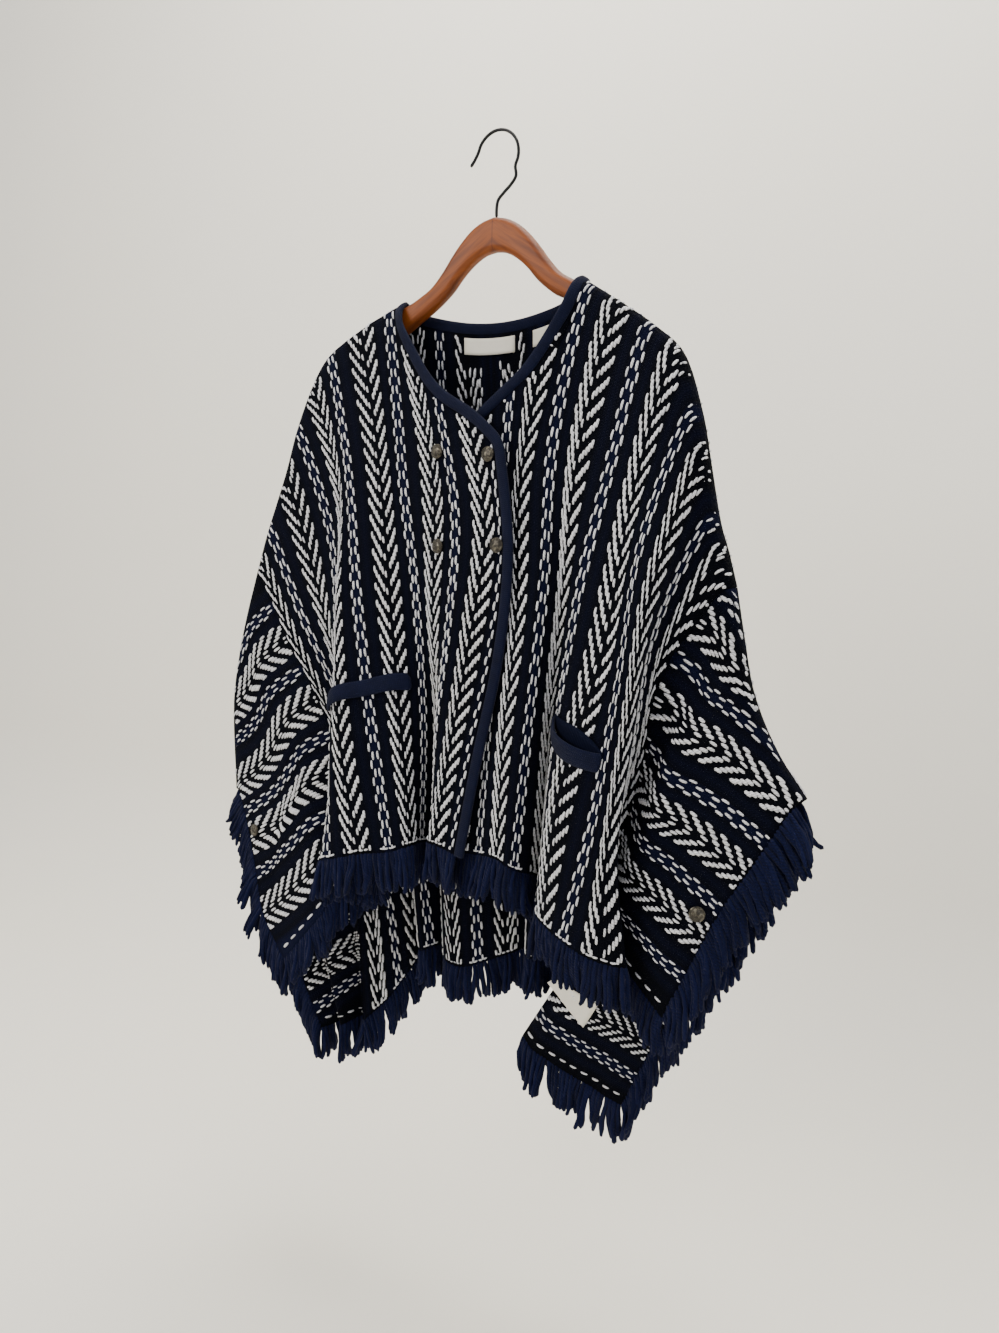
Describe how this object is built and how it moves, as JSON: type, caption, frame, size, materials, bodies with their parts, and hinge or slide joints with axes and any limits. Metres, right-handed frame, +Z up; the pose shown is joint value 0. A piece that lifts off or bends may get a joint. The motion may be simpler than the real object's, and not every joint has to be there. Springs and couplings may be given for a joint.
{
  "type": "knitted poncho sweater on a hanger",
  "caption": "Open-front knitted poncho with short wide sleeves, bound edges, welt pockets and fringed hems, hanging closed on a flat wooden hanger.",
  "frame": {"origin": "inside the top of the hanger's hook, where it rests on a rod or peg", "axes": "+X to the right of someone who faces the front, the front faces -Y, +Z up"},
  "size_m": [0.7454, 0.1682, 1.0817],
  "materials": {
    "knit": "two-colour knit, near-black ground with off-white herringbone and chain stripes",
    "navy_rib": "navy ribbed knit band",
    "navy_yarn": "navy twisted yarn fringe",
    "dark_button": "dark mottled button",
    "label_tape": "bare woven tape",
    "cherry_wood": "stained and varnished",
    "black_wire": "black wire"
  },
  "bodies": {
    "root": {"back": "knit", "binding_back_neck": "navy_rib", "binding_front_left": "navy_rib", "binding_front_right": "navy_rib", "button_cuff_left": "dark_button", "button_cuff_right": "dark_button", "button_low_edge": "dark_button", "button_low_outer": "dark_button", "button_top_edge": "dark_button", "button_top_outer": "dark_button", "fringe_cuff_sleeve_back_left": "navy_yarn", "fringe_cuff_sleeve_back_right": "navy_yarn", "fringe_cuff_sleeve_front_left": "navy_yarn", "fringe_cuff_sleeve_front_right": "navy_yarn", "fringe_hem_back": "navy_yarn", "fringe_hem_front_left": "navy_yarn", "fringe_hem_front_right": "navy_yarn", "fringe_hem_sleeve_back_left": "navy_yarn", "fringe_hem_sleeve_back_right": "navy_yarn", "fringe_hem_sleeve_front_left": "navy_yarn", "fringe_hem_sleeve_front_right": "navy_yarn", "front_left": "knit", "front_right": "knit", "hanger_hook": "black_wire", "hanger_wood": "cherry_wood", "label_care": "label_tape", "label_neck": "label_tape", "label_size": "label_tape", "pocket_welt_left": "navy_rib", "pocket_welt_right": "navy_rib", "sleeve_back_left": "knit", "sleeve_back_right": "knit", "sleeve_front_left": "knit", "sleeve_front_right": "knit"}
  },
  "joints": []
}
